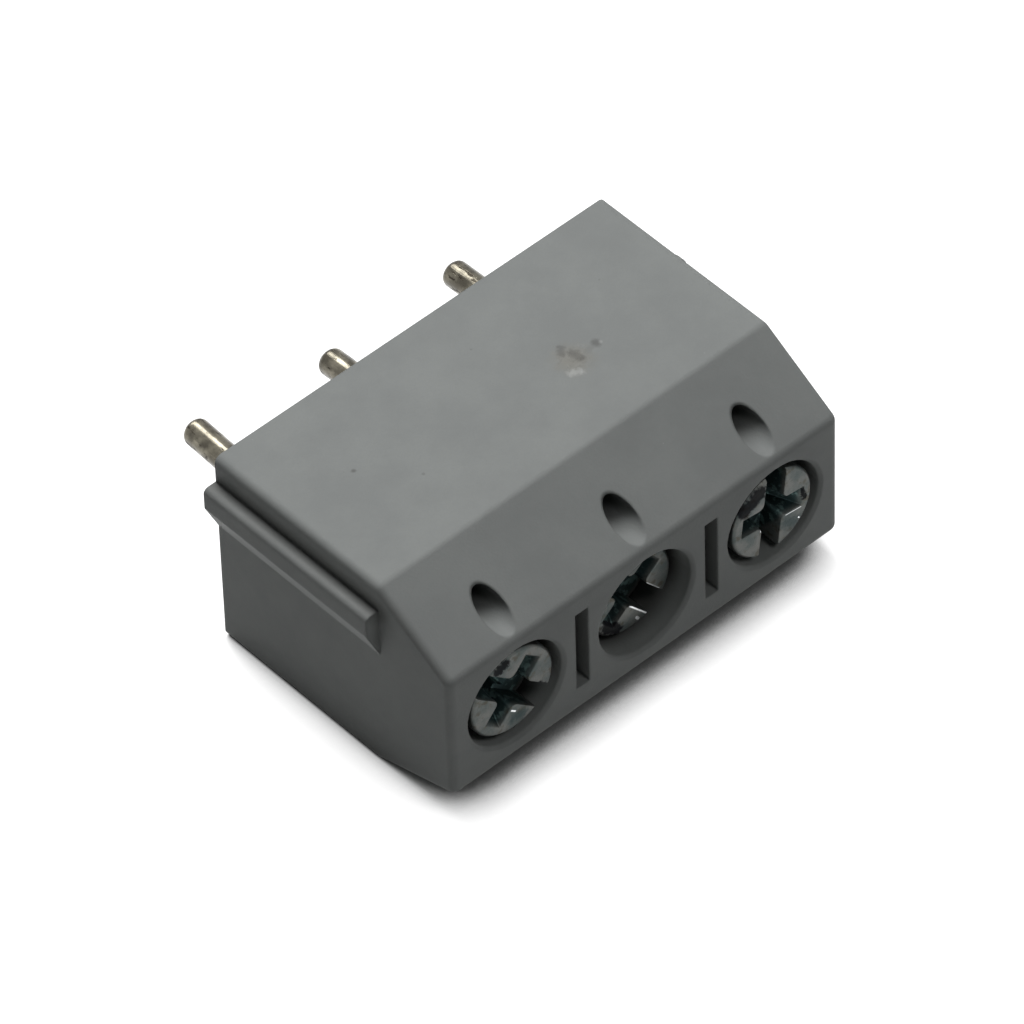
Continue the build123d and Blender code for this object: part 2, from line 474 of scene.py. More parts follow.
@dataclass(frozen=True)
class MouldedPlastic(Finish):
    """Matte grey moulded plastic with a fine grain, faint clouds and a few marks, and painted shade in its
    deep places and in the crease above the rib.
    """

    title: ClassVar[str] = "moulded_grey_plastic"
    pale: Colour = (0.262, 0.274, 0.268)
    deep: Colour = (0.236, 0.247, 0.243)
    grime_and_shade: Colour = (0.085, 0.083, 0.078)
    bruise: Colour = (0.56, 0.57, 0.56)
    singed: Colour = (0.250, 0.238, 0.205)
    lint: Colour = (0.50, 0.51, 0.50)
    # Painted shade: a near-black colour laid over places deep inside the housing's outer planes.
    painted_deep_shade: Colour = (0.030, 0.029, 0.027)
    deep_shade_share: float = 0.80
    deep_shade_fades: tuple[float, float] = (0.25, 1.15)
    roughness: float = 0.58
    gloss: float = 0.08
    clouds: Cloud = Cloud(0.45, 5.0, 0.62)
    cloud_fades: tuple[float, float] = (0.30, 0.70)
    grain: Cloud = Cloud(13.0)
    grain_fades: tuple[float, float] = (0.35, 0.75)
    grain_share: float = 0.22
    grain_depth: float = 0.006
    pores: Cloud = Cloud(4.0, 4.0, 0.6)
    pore_height: float = 0.6
    pore_roughness: float = 0.16
    edge_radius: float = 0.12
    dirt: Scatter = Scatter(1.1, 0.030, 0.20, 0.30)
    dust: Scatter = Scatter(1.7, 0.018, 0.25, 0.50)
    specks: tuple[Speck, ...] = (
        Speck((-5.07, 4.10, 3.13), 0.11, 0.55),
        Speck((-3.70, 4.10, 4.60), 0.07, 0.30),
        Speck((0.60, 4.10, 1.90), 0.06, 0.25),
        Speck((5.20, 4.10, 2.40), 0.05, 0.25),
    )
    gate_halo: Speck = Speck((2.45, 4.10, 4.22), 0.85, 0.55, 0.12)
    gate_notch: Stroke = Stroke((2.36, 4.10, 3.84), (2.52, 4.10, 3.64), 0.21, 0.42, 0.07)
    gate_arc: Stroke = Stroke((2.62, 4.10, 4.02), (2.68, 4.10, 4.34), 0.26, 0.46, 0.08)
    gate_bruise: Stroke = Stroke((2.06, 4.10, 4.60), (2.30, 4.10, 4.72), 0.20, 0.36, 0.07)
    scratch: Stroke = Stroke((2.95, 4.10, 4.28), (3.40, 4.10, 4.20), 0.16, 0.14, 0.04)
    scratch_end: Speck = Speck((3.40, 4.10, 4.20), 0.22, 0.52, 0.05)
    scratch_burr: Speck = Speck((3.52, 4.10, 4.26), 0.10, 0.30, 0.02)
    # Painted shade along the crease above the rib on the left end, mixed in with the real marks.
    rib_crease_shade: Stroke = Stroke((-7.62, 3.12, 0.0), (-7.62, 3.12, 6.98), 0.62, 0.50, 0.02)
    half_length: float = 7.62
    outer_planes: tuple[tuple[Vec3, float], ...] = (
        ((0.0, 1.0, 0.0), 4.10),
        ((0.0, -1.0, 0.0), 3.46),
        ((0.0, 0.0, 1.0), 9.94),
        ((0.0, 0.0, -1.0), 0.0),
        ((0.0, 0.8557, 0.5175), 7.1203),
        ((0.0, -0.9530, 0.3029), 5.3268),
    )

    def depth(self, graph: ShaderGraph) -> Signal:
        """Measure how far a place lies inside the housing's outer planes.

        Args:
            graph: The material's graph.

        Returns:
            The depth in millimetres, nought or less on the outside.
        """
        inside = self.half_length - graph.parts(graph.place)[0].size()
        for normal, reach in self.outer_planes:
            inside = inside.at_most(reach - graph.vector("DOT_PRODUCT", graph.place, normal, output=1))
        return inside

    def marks(self, graph: ShaderGraph) -> Signal:
        """Gather the dark marks.

        Args:
            graph: The material's graph.

        Returns:
            How dark each place is, from nought to one.
        """
        # The real marks, with the painted shade of the rib's crease among them.
        dark = graph.strokes((self.gate_notch, self.gate_arc, self.scratch, self.rib_crease_shade))
        for speck in (self.scratch_end, *self.specks):
            dark = dark.at_least(graph.spot(speck))
        return dark.at_least(graph.specks(self.dirt))

    def shade(self, graph: ShaderGraph) -> Signal:
        """Write the nodes of the finish.

        Args:
            graph: The material's graph.

        Returns:
            The shader.
        """
        clouds = graph.cloud(self.clouds)
        grain = graph.cloud(self.grain)
        pores = graph.cloud(self.pores)
        tone = graph.mix(clouds.rise(*self.cloud_fades), self.deep, self.pale)
        tone = graph.mix(self.grain_share * grain.rise(*self.grain_fades), tone, self.deep)
        tone = graph.mix(graph.spot(self.gate_halo), tone, self.singed)
        tone = graph.mix(graph.stroke(self.gate_bruise), tone, self.bruise)
        tone = graph.mix(graph.spot(self.scratch_burr), tone, self.bruise)
        # Grime colour for the marks; the rib-crease stroke among them is painted shade.
        tone = graph.mix(self.marks(graph), tone, self.grime_and_shade)
        # Painted shade: the slits, bores and probe holes darken the deeper a place lies inside the housing.
        tone = graph.mix(self.deep_shade_share * self.depth(graph).rise(*self.deep_shade_fades), tone, self.painted_deep_shade)
        tone = graph.mix(graph.specks(self.dust), tone, self.lint)
        rough = self.roughness + (pores - 0.5) * self.pore_roughness
        normal = graph.relief(grain + self.pore_height * pores, self.grain_depth, self.edge_radius)
        sockets = {"Base Color": tone, "Roughness": rough, "Specular IOR Level": self.gloss, "Normal": normal}
        return graph.add("ShaderNodeBsdfPrincipled", None, sockets)


@dataclass(frozen=True)
class DullZinc(Finish):
    """Cold zinc plating, dull on the flats, with painted shade and painted sheen in the recesses, painted
    glints on a few edges and near-black patches in places.
    """

    title: ClassVar[str] = "dull_zinc"
    bright: Colour = (0.098, 0.101, 0.095)
    tint: Colour = (0.060, 0.072, 0.070)
    # Grime colour of the zinc, also used as the painted shade of the recesses and of the shaded patches.
    grime_and_shade: Colour = (0.016, 0.030, 0.031)
    stain: Colour = (0.050, 0.045, 0.032)
    # Near-white base colour of the painted glints.
    painted_glint: Colour = (0.92, 0.94, 0.95)
    # Lighter teal of the painted sheen on the recess walls.
    sheen: Colour = (0.11, 0.17, 0.165)
    # Near-black matt colour of the patches on the flats.
    blotch_black: Colour = (0.008, 0.008, 0.010)
    blotch_roughness: float = 0.90
    patches: Cloud = Cloud(1.6, 4.0, 0.6)
    patch_fades: tuple[float, float] = (0.36, 0.66)
    stains: Cloud = Cloud(3.5)
    stain_fades: tuple[float, float] = (0.54, 0.68)
    stain_share: float = 0.75
    sheen_fades: tuple[float, float] = (0.52, 0.64)
    sheen_share: float = 0.80
    recess_shade_fades: tuple[float, float] = (0.02, 0.24)
    recess_shade_share: float = 0.92
    pits: Cloud = Cloud(22.0, 2.0)
    pit_depth: float = 0.006
    stain_height: float = 0.7
    roughness: float = 0.30
    patch_roughness: float = 0.26
    pit_roughness: float = 0.14
    glint_polish: float = 0.25
    # Thin lines where the heads glint: painted highlights in the base colour.
    painted_glint_lines: tuple[Stroke, ...] = (
        Stroke((-5.16, -0.76, 9.76), (-5.02, -0.88, 9.76), 0.045),
        Stroke((-0.08, -0.56, 9.24), (0.66, -1.44, 9.24), 0.045),
        Stroke((0.61, -0.12, 9.24), (1.08, -0.68, 9.24), 0.055),
        Stroke((0.20, -1.26, 9.25), (0.27, -1.36, 9.25), 0.07),
        Stroke((5.60, -0.47, 9.83), (6.20, -0.55, 9.83), 0.024),
        Stroke((4.62, -0.32, 9.83), (4.60, -0.44, 9.83), 0.04),
        Stroke((6.10, -0.92, 9.84), (6.13, -0.96, 9.84), 0.035),
    )
    # Near-black matt patches on the flats of the heads.
    blotches: tuple[Stroke, ...] = (
        Stroke((-5.60, 1.24, 9.77), (-5.34, 1.34, 9.77), 0.24, ragged=0.08),
        Stroke((-4.10, -0.55, 9.77), (-3.92, -0.72, 9.77), 0.24, ragged=0.08),
        Stroke((3.98, 0.84, 9.84), (4.58, 1.18, 9.84), 0.36, ragged=0.08),
        Stroke((-0.98, -0.78, 9.25), (-0.58, -1.22, 9.25), 0.28, ragged=0.08),
        Stroke((6.24, 0.16, 9.84), (6.36, -0.24, 9.84), 0.12, ragged=0.08),
    )
    blotch_share: float = 0.88
    blotch_core: float = 2.2
    # Painted shade on the flats, where the bore's rim shades the head.
    shaded: tuple[Stroke, ...] = (
        Stroke((-5.06, -1.10, 9.77), (-4.74, -1.16, 9.77), 0.34, 0.80, 0.10),
        Stroke((5.62, -0.82, 9.84), (5.98, -1.00, 9.84), 0.40, 0.80, 0.10),
    )

    def shade(self, graph: ShaderGraph) -> Signal:
        """Write the nodes of the finish.

        Args:
            graph: The material's graph.

        Returns:
            The shader.
        """
        depth = graph.add("ShaderNodeAttribute", {"attribute_name": ClampScrew.DEPTH_NAME}, None, "Fac")
        patches = graph.cloud(self.patches)
        stains = graph.cloud(self.stains)
        pits = graph.cloud(self.pits)
        painted_glint = graph.strokes(self.painted_glint_lines)
        tone = graph.mix(patches.rise(*self.patch_fades), self.bright, self.tint)
        tone = graph.mix(self.stain_share * stains.rise(*self.stain_fades), tone, self.stain)
        # Painted shade of the bore's rim on the flats.
        tone = graph.mix(graph.strokes(self.shaded), tone, self.grime_and_shade)
        # Painted shade and sheen: the recess goes dark teal with its depth, on top of the plating's own dark
        # tint, with lighter patches of painted sheen on its walls.
        inside = graph.mix(self.sheen_share * stains.rise(*self.sheen_fades), self.grime_and_shade, self.sheen)
        tone = graph.mix(self.recess_shade_share * depth.rise(*self.recess_shade_fades), tone, inside)
        # Painted highlight: near-white glint lines, with less roughness.
        tone = graph.mix(painted_glint, tone, self.painted_glint)
        rough = self.roughness + self.patch_roughness * patches + self.pit_roughness * pits
        rough = rough * (1.0 - self.glint_polish * painted_glint)
        normal = graph.relief(pits + self.stain_height * stains, self.pit_depth)
        zinc = {"Base Color": tone, "Metallic": 1.0, "Roughness": rough, "Normal": normal}
        plated = graph.add("ShaderNodeBsdfPrincipled", None, zinc)
        # Near-black matt patches mixed over the plated flats.
        matt = {"Base Color": (*self.blotch_black, 1.0), "Roughness": self.blotch_roughness, "Specular IOR Level": 0.0}
        blotch_black = graph.add("ShaderNodeBsdfPrincipled", None, matt)
        blotched = (self.blotch_core * graph.strokes(self.blotches)).at_most(self.blotch_share)
        return graph.add("ShaderNodeMixShader", None, {0: blotched, 1: plated, 2: blotch_black})


@dataclass(frozen=True)
class DrawnMetal(Finish):
    """A plated metal with fine lines along one axis and small dark scratches."""

    bright: Colour = (0.20, 0.185, 0.145)
    worn: Colour = (0.085, 0.078, 0.062)
    scratch: Colour = (0.028, 0.023, 0.017)
    lines_along: Axis = Axis.Z
    lines: Cloud = Cloud(16.0, 3.0, 0.6)
    line_run: float = 0.07
    line_fades: tuple[float, float] = (0.45, 0.75)
    line_share: float = 0.35
    line_depth: float = 0.005
    patches: Cloud = Cloud(2.2, 4.0, 0.6)
    patch_fades: tuple[float, float] = (0.32, 0.62)
    patch_height: float = 0.8
    patch_roughness: float = 0.12
    nicks: Cloud = Cloud(5.0, 3.0, 0.65)
    nick_stretch: tuple[float, float] = (0.35, 1.3)
    nick_height: float = -0.6
    nick_roughness: float = 0.25
    scratch_share: float = 0.56
    scratch_edge: float = 0.07
    scratch_strength: float = 0.85
    roughness: float = 0.17

    def stretch(self, run: float, cross: float = 1.0) -> Vec3:
        """Give one factor along the lines and another across them."""
        return tuple(run if along else cross for along in self.lines_along.value)

    def shade(self, graph: ShaderGraph) -> Signal:
        """Write the nodes of the finish.

        Args:
            graph: The material's graph.

        Returns:
            The shader.
        """
        lines = graph.cloud(replace(self.lines, stretch=self.stretch(self.line_run)))
        patches = graph.cloud(self.patches)
        nicks = graph.cloud(replace(self.nicks, stretch=self.stretch(*self.nick_stretch)))
        scratched = nicks.rise(self.scratch_share, self.scratch_share + self.scratch_edge)
        tone = graph.mix(patches.rise(*self.patch_fades), self.bright, self.worn)
        tone = graph.mix(self.line_share * lines.rise(*self.line_fades), tone, self.worn)
        tone = graph.mix(self.scratch_strength * scratched, tone, self.scratch)
        rough = self.roughness + self.patch_roughness * patches + self.nick_roughness * scratched
        height = lines + self.patch_height * patches + self.nick_height * scratched
        normal = graph.relief(height, self.line_depth)
        sockets = {"Base Color": tone, "Metallic": 1.0, "Roughness": rough, "Normal": normal}
        return graph.add("ShaderNodeBsdfPrincipled", None, sockets)


@dataclass(frozen=True)
class ScratchedTin(DrawnMetal):
    """Tin on the solder pins, scratched along their length."""

    title: ClassVar[str] = "scratched_tin"


@dataclass(frozen=True)
class DullNickel(DrawnMetal):
    """Nickel on the clamp bodies, with lines from the drawn bar."""

    title: ClassVar[str] = "dull_nickel"
    bright: Colour = (0.58, 0.55, 0.48)
    worn: Colour = (0.44, 0.41, 0.35)
    scratch: Colour = (0.20, 0.18, 0.14)
    lines_along: Axis = Axis.Y
    scratch_share: float = 0.68
    roughness: float = 0.30


@dataclass(frozen=True)
class RolledSteel(DrawnMetal):
    """Rolled spring strip of the wire guards."""

    title: ClassVar[str] = "rolled_steel"
    bright: Colour = (0.55, 0.55, 0.54)
    worn: Colour = (0.42, 0.42, 0.41)
    scratch: Colour = (0.18, 0.18, 0.18)
    lines_along: Axis = Axis.Y
    lines: Cloud = Cloud(22.0, 3.0, 0.6)
    scratch_share: float = 0.70
    roughness: float = 0.24


@dataclass(frozen=True)
class StudioWhite(Finish):
    """White paper with a short dark shadow, partly cast by the lamps and partly painted from how closed in
    each place is, that the lamp below shines through under the part.
    """

    title: ClassVar[str] = "studio_white"
    returned: float = 0.53
    glow: float = 0.95
    shadow_reach: float = 2.2
    shadow_samples: int = 16
    shadow_fades: tuple[float, float] = (0.385, 0.81)
    shadow_curve: float = 0.80
    contact_fades: float = 0.76
    # Painted light that narrows the shadow at the left end.
    bright_end: tuple[float, float] = (-7.30, -8.00)
    bright_end_lift: float = 0.12
    window_across: tuple[tuple[float, float], ...] = ((-7.54, -7.34), (7.60, 7.40))
    window_upward: tuple[tuple[float, float], ...] = ((-0.05, 0.15), (9.80, 9.20))

    def lamp_window(self, graph: ShaderGraph) -> Signal:
        """Let the lamp below reach the wire face and its bevel, and nothing beside them.

        Args:
            graph: The floor's graph.

        Returns:
            One inside the window for the rays that look for a lamp, and nought for the rest.
        """
        inside = graph.add("ShaderNodeLightPath", None, None, "Is Shadow Ray")
        across, _, upward = graph.parts(graph.place)
        for fades in self.window_across:
            inside = inside * across.rise(*fades)
        for fades in self.window_upward:
            inside = inside * upward.rise(*fades)
        return inside

    def shade(self, graph: ShaderGraph) -> Signal:
        """Write the nodes of the finish.

        Args:
            graph: The material's graph.

        Returns:
            The shader.
        """
        below = graph.add("ShaderNodeNewGeometry", None, None, "Backfacing")
        samples = {"samples": self.shadow_samples}
        reach = {"Distance": self.shadow_reach * MM}
        # Painted shadow: the white glow fades where the part closes in above the paper, the paper's own
        # colour goes black at the contact, and the left end is lifted to keep its shadow narrow.
        open_above = graph.add("ShaderNodeAmbientOcclusion", samples, reach, "AO")
        contact = (open_above / self.contact_fades).at_most(1.0)
        open_above = open_above + self.bright_end_lift * graph.parts(graph.place)[0].rise(*self.bright_end)
        dark, light = self.shadow_fades
        lifted = ((open_above - dark) / (light - dark)).at_least(0.0).at_most(1.0) ** self.shadow_curve
        strength = seen_directly(graph) * self.glow
        dim = graph.add("ShaderNodeBsdfDiffuse", None, {"Color": (0.0, 0.0, 0.0, 1.0)})
        paper = graph.add("ShaderNodeBsdfDiffuse", None, {"Color": (*(self.returned,) * 3, 1.0)})
        paper = graph.add("ShaderNodeMixShader", None, {0: contact, 1: dim, 2: paper})
        white = graph.add("ShaderNodeEmission", None, {"Color": lifted, "Strength": strength})
        lit = graph.add("ShaderNodeAddShader", None, {0: paper, 1: white})
        clear = graph.add("ShaderNodeBsdfTransparent")
        open_below = below.at_least(self.lamp_window(graph))
        return graph.add("ShaderNodeMixShader", None, {0: open_below, 1: lit, 2: clear})


def seen_directly(graph: NodeGraph) -> Signal:
    """Tell the rays that show the background from those that light the part.

    Args:
        graph: The graph of the floor or the world.

    Returns:
        One for camera, glossy and transmission rays, and nought for the rest.
    """
    rays = graph.add("ShaderNodeLightPath", None, None, "Is Camera Ray")
    outputs = rays.socket.node.outputs
    glossy = Signal(graph, outputs["Is Glossy Ray"])
    through = Signal(graph, outputs["Is Transmission Ray"])
    return rays.at_least(glossy).at_least(through)


def dress_node(name: str, finish: Finish) -> None:
    """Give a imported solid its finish.

    Args:
        name: The node's name.
        finish: The finish.
    """
    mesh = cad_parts[name].data
    mesh.materials.clear()
    mesh.materials.append(finish.material())
    LOG.info("%s wears %s", name, finish.title)


def add_piece(name: str, mesh: bpy.types.Mesh, finish: Finish, body: str) -> bpy.types.Object:
    """Add a finished mesh as a piece that rides on a body.

    Args:
        name: The piece's name.
        mesh: Its mesh, in metres in the part's own frame.
        finish: Its finish.
        body: The body that it rides on.

    Returns:
        The new object.
    """
    piece = bpy.data.objects.new(name, mesh)
    bpy.context.scene.collection.objects.link(piece)
    mesh.materials.clear()
    mesh.materials.append(finish.material())
    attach(piece, body)
    LOG.info("%s rides on %s in %s, %d faces", name, body, finish.title, len(mesh.polygons))
    return piece


def round_edges(piece: bpy.types.Object, radius: float, sharp_angle: float) -> None:
    """Round a piece's sharp edges.

    Args:
        piece: The piece.
        radius: The width of the rounding.
        sharp_angle: The angle in degrees from which an edge counts as sharp.
    """
    bevel = piece.modifiers.new("rounded edges", "BEVEL")
    bevel.width = radius * MM
    bevel.segments = 3
    bevel.limit_method = "ANGLE"
    bevel.angle_limit = math.radians(sharp_angle)
    bevel.harden_normals = True
    bevel.use_clamp_overlap = False


def welded_copy(node: str) -> bmesh.types.BMesh:
    """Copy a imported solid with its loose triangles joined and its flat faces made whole.

    Args:
        node: The solid's name.

    Returns:
        The copy.
    """
    shape = bmesh.new()
    shape.from_mesh(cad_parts[node].data)
    bmesh.ops.remove_doubles(shape, verts=shape.verts, dist=WELD_REACH * MM)
    flat = math.radians(FLAT_ANGLE)
    bmesh.ops.dissolve_limit(shape, angle_limit=flat, verts=shape.verts, edges=shape.edges)
    return shape


def as_mesh(shape: bmesh.types.BMesh, name: str) -> bpy.types.Mesh:
    """Turn a built shape into a mesh with smooth faces, and free it.

    Args:
        shape: The shape.
        name: The mesh's name.

    Returns:
        The mesh.
    """
    for face in shape.faces:
        face.smooth = True
    mesh = bpy.data.meshes.new(name)
    shape.to_mesh(mesh)
    shape.free()
    return mesh


@dataclass
class ThreadNodes:
    """The Geometry Nodes tree that winds one screw thread."""

    steps_per_turn: int = 40
    rows: int = 5
    strip_width: float = 0.92
    flank_slope: float = 2.4
    crest_flat: float = 0.20
    sunk: float = 0.05
    runout: float = 0.08
    tree: bpy.types.GeometryNodeTree = field(init=False)
    inputs: dict[str, str] = field(init=False, default_factory=dict)

    def __post_init__(self) -> None:
        """Write the tree once for all screws."""
        self.tree = bpy.data.node_groups.new("screw_thread", "GeometryNodeTree")
        graph = NodeGraph(self.tree)
        floats = ("Axis X", "Start height", "Pitch", "Turns", "Core radius", "Crest height", "Start angle")
        for name in floats:
            self._input(name, "NodeSocketFloat")
        self._input("Steps", "NodeSocketInt")
        self._input("Finish", "NodeSocketMaterial")
        self.tree.interface.new_socket(name="Thread", in_out="OUTPUT", socket_type="NodeSocketGeometry")
        given = {name: graph.add("NodeGroupInput", None, None, name) for name in self.inputs}
        self._wind(graph, given)

    def _input(self, name: str, kind: str) -> None:
        """Add a named input and note its identifier."""
        socket = self.tree.interface.new_socket(name=name, in_out="INPUT", socket_type=kind)
        self.inputs[name] = socket.identifier

    def _wind(self, graph: NodeGraph, given: Mapping[str, Signal]) -> None:
        """Wind a strip of a few rows of points round the core.

        Args:
            graph: The tree's graph.
            given: The tree's inputs by name.
        """
        size = {"Size X": 1.0, "Size Y": 1.0, "Vertices X": given["Steps"], "Vertices Y": self.rows}
        strip = graph.add("GeometryNodeMeshGrid", None, size)
        across, along = self._strip_shares(graph)
        turn = along * given["Turns"]
        angle = given["Start angle"] + turn * math.tau
        offset = across - 0.5
        flank = 1.0 - (offset.size() * self.flank_slope - self.crest_flat).at_least(0.0).at_most(1.0)
        ends = along.rise(0.0, self.runout) * along.rise(1.0, 1.0 - self.runout)
        ridge = flank * ends * (1.0 + self.sunk) - self.sunk
        radius = given["Core radius"] + given["Crest height"] * ridge
        height = given["Start height"] + (turn + offset * self.strip_width) * given["Pitch"]
        place = graph.joined(given["Axis X"] + radius * angle.cosine(), radius * angle.sine(), height)
        wound = graph.add("GeometryNodeSetPosition", None, {"Geometry": strip, "Position": place})
        smooth = graph.add("GeometryNodeSetShadeSmooth", None, {0: wound})
        whole = graph.add("GeometryNodeRealizeInstances", None, {0: smooth})
        dressed = graph.add("GeometryNodeSetMaterial", None, {"Geometry": whole, "Material": given["Finish"]})
        graph.add("NodeGroupOutput", None, {0: dressed})

    def _strip_shares(self, graph: NodeGraph) -> tuple[Signal, Signal]:
        """Read how far each point of the flat strip lies across and along it."""
        flat = graph.parts(graph.add("GeometryNodeInputPosition"))
        return flat[1] + 0.5, flat[0] + 0.5

    def wind(self, name: str, values: Mapping[str, Any]) -> bpy.types.Mesh:
        """Make one thread as a plain mesh.

        Args:
            name: The mesh's name.
            values: A value for each named input.

        Returns:
            The mesh.
        """
        carrier = bpy.data.objects.new(name, bpy.data.meshes.new(name))
        bpy.context.scene.collection.objects.link(carrier)
        modifier = carrier.modifiers.new(name, "NODES")
        modifier.node_group = self.tree
        for key, value in values.items():
            modifier[self.inputs[key]] = value
        mesh = bpy.data.meshes.new_from_object(carrier.evaluated_get(bpy.context.evaluated_depsgraph_get()))
        blank = carrier.data
        bpy.data.objects.remove(carrier)
        bpy.data.meshes.remove(blank)
        mesh.name = name
        return mesh


@dataclass
class ClampScrew:
    """One clamp screw: a plated head with rounded edges, and a thread in place of the plain shank."""

    DEPTH_NAME: ClassVar[str] = "recess_depth"

    number: int
    head_height: float = 1.70
    head_radius: float = 1.575
    shank_radius: float = 1.20
    core_radius: float = 1.00
    thread_pitch: float = 0.45
    neck_length: float = 0.30
    edge_round: float = 0.030
    sharp_angle: float = 32.0
    corner_reach: tuple[float, float] = (0.40, 0.62)
    corner_drop: float = 0.30
    corner_round: float = 0.20
    corner_steps: int = 4
    angle_step: float = 0.7
    slack: float = 0.01
    shank_slack: float = 0.05
    recess_reach: float = 0.9
    finish: Finish = field(default_factory=DullZinc)

    @property
    def node(self) -> str:
        """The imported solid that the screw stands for."""
        return f"clamp_screw_{self.number}"

    @property
    def body(self) -> str:
        """The body that the screw rides on."""
        return f"screw_{self.number}"

    def measure(self) -> tuple[float, float, float]:
        """Read the screw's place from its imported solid.

        Returns:
            The X of its axis, and the heights of its tip and of its head's top, in millimetres.
        """
        low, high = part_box(self.node)
        return (low.x + high.x) / 2 / MM, low.z / MM, high.z / MM

    def build(self, thread: ThreadNodes) -> list[bpy.types.Object]:
        """Make the screw and its thread.

        Args:
            thread: The nodes that wind threads.

        Returns:
            The screw's pieces.
        """
        axis_x, tip, top = self.measure()
        head = self._shape(axis_x, top)
        screw = add_piece(head.name, head, self.finish, self.body)
        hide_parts(self.node)
        round_edges(screw, self.edge_round, self.sharp_angle)
        length = top - tip - self.head_height - self.neck_length
        turns = length / self.thread_pitch - 1.0
        values = {
            "Axis X": axis_x * MM,
            "Start height": (tip + 0.5 * self.thread_pitch) * MM,
            "Pitch": self.thread_pitch * MM,
            "Turns": turns,
            "Core radius": self.core_radius * MM,
            "Crest height": (self.shank_radius - self.core_radius) * MM,
            "Start angle": self.angle_step * self.number,
            "Steps": int(turns * thread.steps_per_turn),
            "Finish": self.finish.material(),
        }
        ridge = thread.wind(f"screw_thread_{self.number}", values)
        wound = add_piece(ridge.name, ridge, self.finish, self.body)
        return [screw, wound]

    def _shape(self, axis_x: float, top: float) -> bpy.types.Mesh:
        """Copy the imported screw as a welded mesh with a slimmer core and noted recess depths.

        Args:
            axis_x: The X of the screw's axis.
            top: The height of the head's top.

        Returns:
            The mesh.
        """
        shape = welded_copy(self.node)
        axis = Vector((axis_x, 0.0))
        self._ease_corners(shape, axis, top)
        depths = shape.verts.layers.float.new(self.DEPTH_NAME)
        under_head = top - self.head_height
        for vertex in shape.verts:
            place = vertex.co / MM
            out = place.xy - axis
            at_seat = place.z < under_head + self.slack and out.length < self.shank_radius + self.shank_slack
            if place.z < under_head - self.slack or at_seat:
                slim = axis + out * (self.core_radius / self.shank_radius)
                vertex.co = Vector((slim.x, slim.y, place.z)) * MM
            elif out.length < self.recess_reach * self.head_radius:
                vertex[depths] = top - place.z
        return as_mesh(shape, f"plated_screw_{self.number}")

    def _ease_corners(self, shape: bmesh.types.BMesh, axis: Vector, top: float) -> None:
        """Round the four corners of the head where the slot and the cross meet.

        Args:
            shape: The screw.
            axis: The X and Y of the screw's axis.
            top: The height of the head's top.
        """
        low, high = self.corner_reach
        corners = []
        for edge in shape.edges:
            ends = [vertex.co / MM for vertex in edge.verts]
            near = all(low < (end.xy - axis).length < high and end.z > top - self.head_height for end in ends)
            if near and abs(ends[0].z - ends[1].z) > self.corner_drop:
                corners.append(edge)
        LOG.info("%s has %d inner corners", self.node, len(corners))
        bmesh.ops.bevel(
            shape,
            geom=corners,
            offset=self.corner_round * MM,
            offset_type="OFFSET",
            segments=self.corner_steps,
            profile=0.5,
            affect="EDGES",
        )


